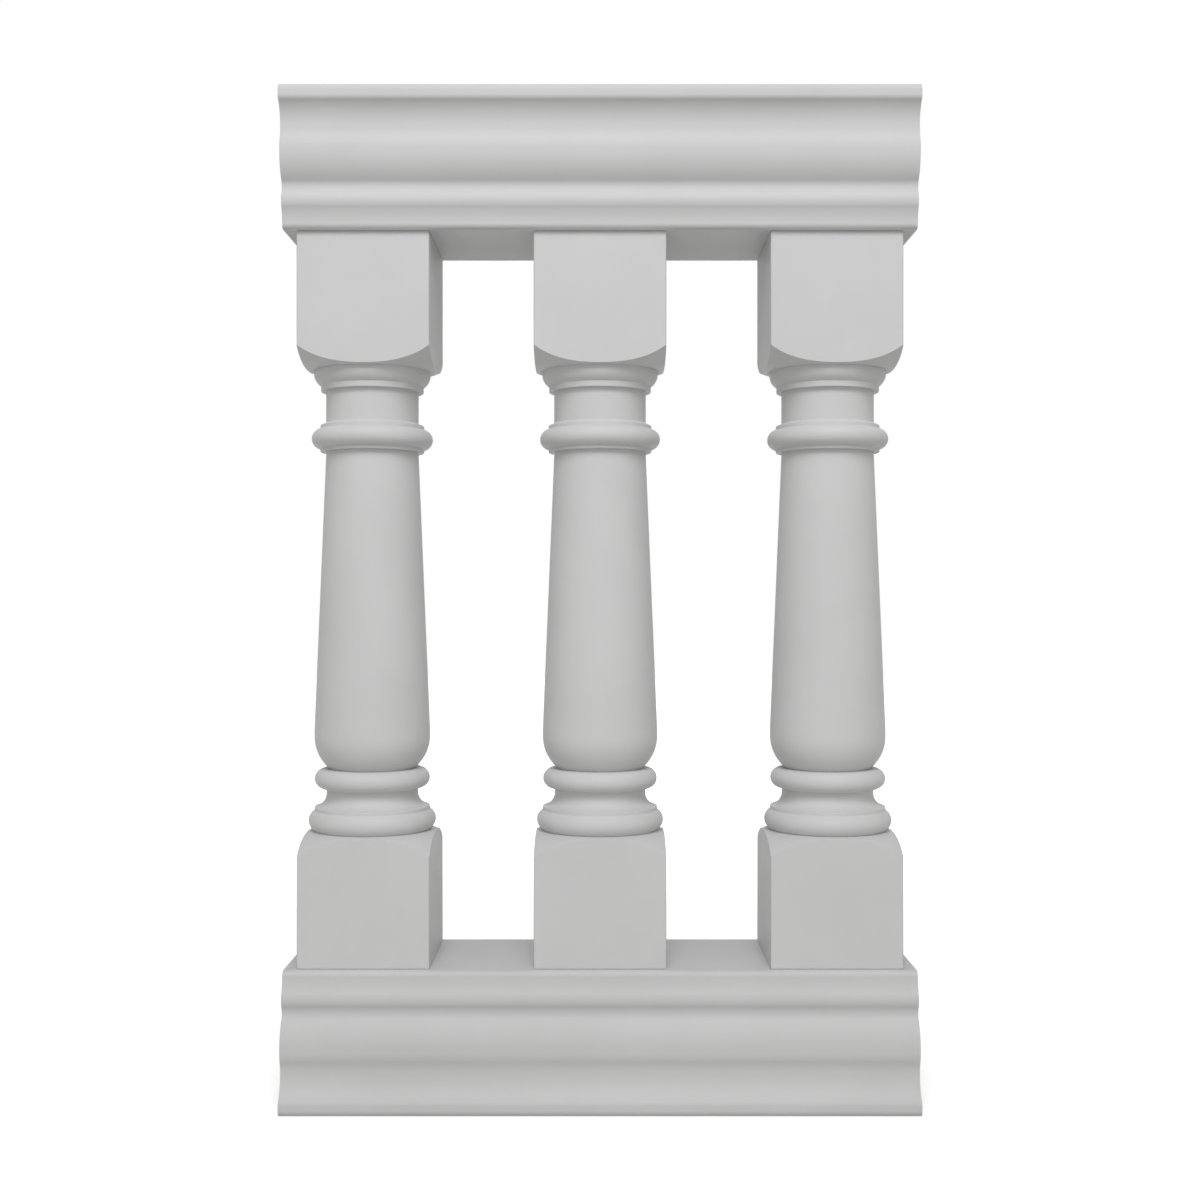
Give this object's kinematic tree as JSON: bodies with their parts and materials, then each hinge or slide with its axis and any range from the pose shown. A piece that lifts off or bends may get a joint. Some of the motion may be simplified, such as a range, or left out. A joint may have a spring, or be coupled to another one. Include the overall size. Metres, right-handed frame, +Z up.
{
  "type": "balustrade section",
  "caption": "Balustrade section of moulded fiberglass: hollow top and bottom rails with ogee faces, turned balusters on square blocks, and steel tubes up their cores.",
  "frame": {"origin": "centre of the bottom rail's underside, on the surface that it stands on", "axes": "+X along the rails, -Y the front, +Z up along the balusters"},
  "size_m": [0.6096, 0.1842, 0.9788],
  "materials": {
    "rail_fiberglass": "smooth satin gelcoat, pale grey",
    "baluster_fiberglass": "smooth satin gelcoat, pale grey",
    "tube_steel": "dull galvanised steel tube"
  },
  "bodies": {
    "root": {"bottom_rail": "rail_fiberglass", "tube_left": "tube_steel", "tube_centre": "tube_steel", "tube_right": "tube_steel", "baluster_left": "baluster_fiberglass", "baluster_centre": "baluster_fiberglass", "baluster_right": "baluster_fiberglass", "top_rail": "rail_fiberglass"}
  },
  "joints": []
}
